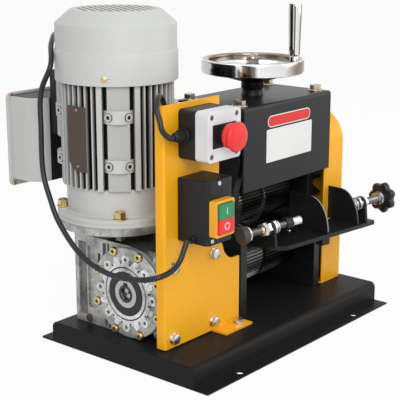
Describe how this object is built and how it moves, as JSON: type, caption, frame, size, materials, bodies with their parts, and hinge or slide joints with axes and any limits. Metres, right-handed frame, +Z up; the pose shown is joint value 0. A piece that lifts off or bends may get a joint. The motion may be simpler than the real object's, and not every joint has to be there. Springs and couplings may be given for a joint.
{
  "type": "wire stripping machine",
  "caption": "Bench wire stripping machine on a tray: geared upright motor, fluted feed rollers with a cutter disc, handwheel height adjustment, wire guide table and stop controls.",
  "frame": {"origin": "middle of the underside of the tray's front flange, on the bench", "axes": "+Z up, +X to the machine's right seen from its front, +Y from the front to the back"},
  "size_m": [0.5178, 0.388, 0.478],
  "materials": {
    "black_paint": "gloss black enamel",
    "yellow_paint": "gloss yellow-orange enamel",
    "motor_grey": "satin light grey paint",
    "cast_aluminium": "shot-blasted die casting",
    "chrome": "polished chrome plate",
    "zinc": "bright zinc plate",
    "steel": "turned steel",
    "dark_steel": "blackened hardened steel",
    "black_plastic": "satin moulded plastic",
    "pale_grey_plastic": "satin moulded plastic",
    "red_plastic": "gloss moulded plastic",
    "green_plastic": "gloss moulded plastic",
    "black_rubber": "matt rubber",
    "copper": "varnished winding wire",
    "bronze": "cast bronze",
    "brown_plate": "anodised plate"
  },
  "bodies": {
    "frame": {"base_tray": "black_paint", "drive_panel": "yellow_paint", "gearbox_bolt_1": "zinc", "gearbox_bolt_2": "zinc", "gearbox_bolt_3": "zinc", "gearbox_bolt_4": "zinc", "gearbox_housing": "cast_aluminium", "gearbox_cover_left": "cast_aluminium", "gearbox_cover_right": "cast_aluminium", "oil_seal": "black_rubber", "motor_flange_shield": "motor_grey", "motor_frame": "motor_grey", "stator": "copper", "upper_end_shield": "motor_grey", "fan_cowl": "motor_grey", "nameplate": "brown_plate", "terminal_box": "motor_grey", "terminal_lid": "motor_grey", "left_side_plate": "black_paint", "right_side_plate": "black_paint", "table_bar": "black_paint", "rear_tie_plate": "black_paint", "top_plate": "black_paint", "head_cover": "black_paint", "spindle_bush": "black_paint", "gear_guard": "yellow_paint", "guide_table": "black_paint", "middle_fin": "black_paint", "left_rod_ear": "black_paint", "right_rod_ear": "black_paint", "stop_box_base": "black_plastic", "stop_box_lid": "pale_grey_plastic", "switch_box": "black_plastic", "switch_frame": "yellow_paint", "switch_cable": "black_rubber", "stop_cable": "black_rubber"},
    "motor_rotor": {"rotor": "steel", "worm": "steel"},
    "drive_train": {"worm_wheel": "bronze", "drive_shaft": "steel", "lower_feed_roller": "dark_steel", "drive_gear": "dark_steel"},
    "carriage": {"yoke": "black_paint", "left_bearing_block": "black_paint", "right_bearing_block": "black_paint"},
    "cutter_train": {"upper_feed_roller": "dark_steel", "cutter_disc": "zinc", "blade_gear": "dark_steel"},
    "height_wheel": {"handwheel": "chrome", "spindle": "steel"},
    "grip": {"wheel_grip": "chrome"},
    "stop_plunger": {"stop_stem": "black_plastic"},
    "stop_cap": {"stop_button": "red_plastic"},
    "start_key": {"start_button": "green_plastic"},
    "stop_switch_key": {"stop_key": "red_plastic"},
    "left_guide": {"left_sleeve": "black_paint"},
    "left_guide_screw": {"left_screw": "zinc"},
    "right_guide": {"right_fin": "black_paint"},
    "right_guide_screw": {"star_screw": "zinc", "star_knob": "black_plastic"}
  },
  "joints": [
    {"name": "motor_spin", "type": "hinge", "parent": "frame", "child": "motor_rotor", "pos_m": [-0.149, 0.2145, 0.29], "axis": [0, 0, 1], "continuous": true},
    {"name": "drive_spin", "type": "hinge", "parent": "frame", "child": "drive_train", "pos_m": [-0.149, 0.1515, 0.097], "axis": [1, 0, 0], "continuous": true},
    {"name": "carriage_slide", "type": "slide", "parent": "frame", "child": "carriage", "axis": [0, 0, 1], "range_m": [-0.006, 0.007]},
    {"name": "blade_spin", "type": "hinge", "parent": "carriage", "child": "cutter_train", "pos_m": [0.0575, 0.1515, 0.185], "axis": [1, 0, 0], "continuous": true},
    {"name": "handwheel_spin", "type": "hinge", "parent": "frame", "child": "height_wheel", "pos_m": [0.0575, 0.1365, 0.3525], "axis": [0, 0, 1], "range_deg": [-1080, 1260]},
    {"name": "grip_spin", "type": "hinge", "parent": "height_wheel", "child": "grip", "pos_m": [0.09292, 0.08684, 0.4], "axis": [0, 0, 1], "continuous": true},
    {"name": "stop_press", "type": "slide", "parent": "frame", "child": "stop_plunger", "axis": [0, 1, 0], "range_m": [0, 0.006]},
    {"name": "stop_twist", "type": "hinge", "parent": "stop_plunger", "child": "stop_cap", "pos_m": [-0.146, 0.0085, 0.326], "axis": [0, 1, 0], "range_deg": [0, 30], "stiffness_Nm_per_rad": 0.05},
    {"name": "start_press", "type": "slide", "parent": "frame", "child": "start_key", "axis": [0, 1, 0], "range_m": [0, 0.003], "stiffness_N_per_m": 500},
    {"name": "stop_key_press", "type": "slide", "parent": "frame", "child": "stop_switch_key", "axis": [0, 1, 0], "range_m": [0, 0.003], "stiffness_N_per_m": 500},
    {"name": "left_guide_slide", "type": "slide", "parent": "frame", "child": "left_guide", "axis": [0.9925, -0.1219, 0], "range_m": [-0.0182, 0.0131]},
    {"name": "left_screw_spin", "type": "hinge", "parent": "left_guide", "child": "left_guide_screw", "pos_m": [0.02006, 0.0484, 0.166], "axis": [0.9925, -0.1219, 0], "range_deg": [-3960, 2700]},
    {"name": "right_guide_slide", "type": "slide", "parent": "frame", "child": "right_guide", "axis": [0.9925, -0.1219, 0], "range_m": [-0.0192, 0.0043]},
    {"name": "star_screw_spin", "type": "hinge", "parent": "right_guide", "child": "right_guide_screw", "pos_m": [0.21411, 0.02458, 0.166], "axis": [0.9925, -0.1219, 0], "range_deg": [-3960, 900]}
  ],
  "couplings": [
    {"joint": "drive_spin", "follows": "motor_spin", "ratio": -0.033333},
    {"joint": "blade_spin", "follows": "motor_spin", "ratio": 0.033333},
    {"joint": "carriage_slide", "follows": "handwheel_spin", "m_per_rad": 0.00031831},
    {"joint": "left_screw_spin", "follows": "left_guide_slide", "rad_per_m": 3590.4},
    {"joint": "star_screw_spin", "follows": "right_guide_slide", "rad_per_m": 3590.4}
  ]
}
